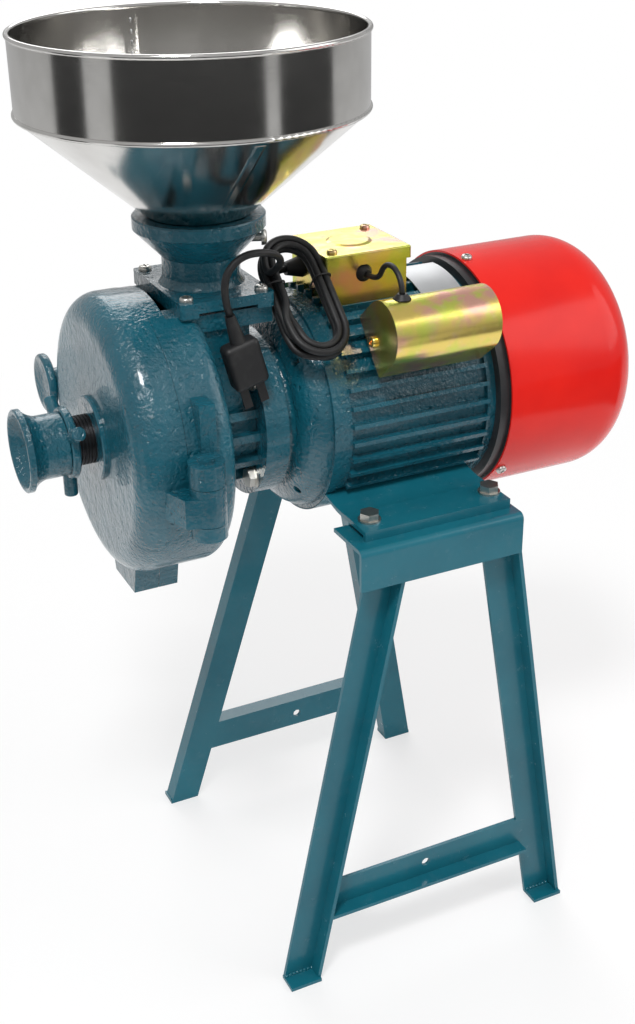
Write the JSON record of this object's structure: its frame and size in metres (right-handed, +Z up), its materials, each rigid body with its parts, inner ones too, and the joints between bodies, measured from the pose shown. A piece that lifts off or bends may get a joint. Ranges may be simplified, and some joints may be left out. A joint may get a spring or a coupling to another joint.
{
  "type": "disc grain mill",
  "caption": "Electric disc grain mill: steel hopper over a cast grinding head with hinged cover and adjusting knob, flanged to a finned motor on an angle-iron stand.",
  "frame": {"origin": "on the floor, under the middle of the stand", "axes": "+Z up, X along the motor shaft with the grinding head at -X and the fan at +X, hinge side at -Y"},
  "size_m": [0.472, 0.286, 0.7194],
  "materials": {
    "leg_paint": "smooth glossy teal-blue enamel on angle iron",
    "cast_paint": "glossy teal-blue enamel over rough cast iron",
    "black_paint": "black enamel",
    "zinc_bolt": "bright zinc-plated steel",
    "yellow_zinc": "yellow passivated zinc on sheet steel",
    "red_paint": "glossy red enamel on sheet steel",
    "stainless": "polished stainless sheet",
    "bright_steel": "ground steel",
    "grey_iron": "bare chilled iron",
    "core_steel": "laminated core steel",
    "copper": "varnished copper wire",
    "black_steel": "blackened threaded steel",
    "black_plastic": "moulded black plastic",
    "black_rubber": "black cable rubber",
    "white_plastic": "moulded capacitor can",
    "plate_metal": "blank aluminium plate"
  },
  "bodies": {
    "stand_and_casing": {"adapter_bolts": "zinc_bolt", "bearing_balls": "bright_steel", "bearing_outer_rings": "bright_steel", "box_screws": "yellow_zinc", "braces": "leg_paint", "capacitor": "white_plastic", "capacitor_bracket": "yellow_zinc", "capacitor_cover": "yellow_zinc", "capacitor_lead": "black_rubber", "cord_gland": "black_rubber", "fan_cover": "red_paint", "fan_cover_screws": "zinc_bolt", "far_legs": "leg_paint", "fixed_disc": "grey_iron", "fixed_disc_screws": "bright_steel", "foot_bolts": "zinc_bolt", "foot_nuts": "zinc_bolt", "front_end_shield": "cast_paint", "hinge_pin": "cast_paint", "hopper_set_screw": "zinc_bolt", "lead_glands": "black_rubber", "mill_body": "cast_paint", "motor_foot": "leg_paint", "motor_frame": "cast_paint", "nameplate": "plate_metal", "near_legs": "leg_paint", "neck": "cast_paint", "neck_screws": "zinc_bolt", "power_cord": "black_rubber", "power_cord_hank": "black_rubber", "power_plug": "black_rubber", "rear_end_shield": "black_paint", "shaft_seal": "black_rubber", "stator_core": "core_steel", "terminal_block": "black_plastic", "terminal_box": "yellow_zinc", "terminal_box_lid": "yellow_zinc", "tie_rods": "zinc_bolt", "top_angles": "leg_paint", "windings": "copper"},
    "cover": {"front_cover": "cast_paint"},
    "adjuster_slide": {"thrust_ball": "bright_steel"},
    "adjuster": {"adjusting_screw": "black_steel", "adjusting_knob": "cast_paint"},
    "lock_nut": {"lock_ring": "cast_paint"},
    "clamp_clip": {"lock_clip": "bright_steel"},
    "clamp_screw": {"lock_screw": "cast_paint"},
    "rotor": {"motor_shaft": "bright_steel", "rotor_core": "core_steel", "bearing_inner_rings": "bright_steel", "cooling_fan": "black_plastic", "auger": "grey_iron", "rotating_disc": "grey_iron", "drive_pins": "bright_steel"},
    "gate": {"slide_gate": "bright_steel"},
    "hopper": {"hopper_drum": "stainless", "hopper_cone": "stainless"}
  },
  "joints": [
    {"name": "cover_hinge", "type": "hinge", "parent": "stand_and_casing", "child": "cover", "pos_m": [-0.168, -0.1155, 0.43], "axis": [0, 0, 1], "range_deg": [0, 110]},
    {"name": "adjuster_travel", "type": "slide", "parent": "cover", "child": "adjuster_slide", "axis": [-1, 0, 0], "range_m": [0, 0.005]},
    {"name": "adjuster_turn", "type": "hinge", "parent": "adjuster_slide", "child": "adjuster", "pos_m": [-0.2, 0, 0.4424], "axis": [-1, 0, 0], "range_deg": [0, 720]},
    {"name": "lock_ring_turn", "type": "hinge", "parent": "adjuster", "child": "lock_nut", "pos_m": [-0.2, 0, 0.4424], "axis": [1, 0, 0], "range_deg": [0, 60]},
    {"name": "clamp_travel", "type": "slide", "parent": "cover", "child": "clamp_clip", "axis": [-1, 0, 0], "range_m": [0, 0.007]},
    {"name": "clamp_turn", "type": "hinge", "parent": "clamp_clip", "child": "clamp_screw", "pos_m": [-0.19, 0.116, 0.444], "axis": [-1, 0, 0], "range_deg": [0, 1440]},
    {"name": "shaft_spin", "type": "hinge", "parent": "stand_and_casing", "child": "rotor", "pos_m": [0, 0, 0.4424], "axis": [1, 0, 0], "continuous": true},
    {"name": "feed_gate_slide", "type": "slide", "parent": "stand_and_casing", "child": "gate", "axis": [0, 1, 0], "range_m": [0, 0.045]},
    {"name": "hopper_lift", "type": "slide", "parent": "stand_and_casing", "child": "hopper", "axis": [0, 0, 1], "range_m": [0, 0.06]}
  ],
  "couplings": [
    {"joint": "adjuster_travel", "follows": "adjuster_turn", "m_per_rad": 0.00039789},
    {"joint": "clamp_travel", "follows": "clamp_turn", "m_per_rad": 0.00027852}
  ]
}
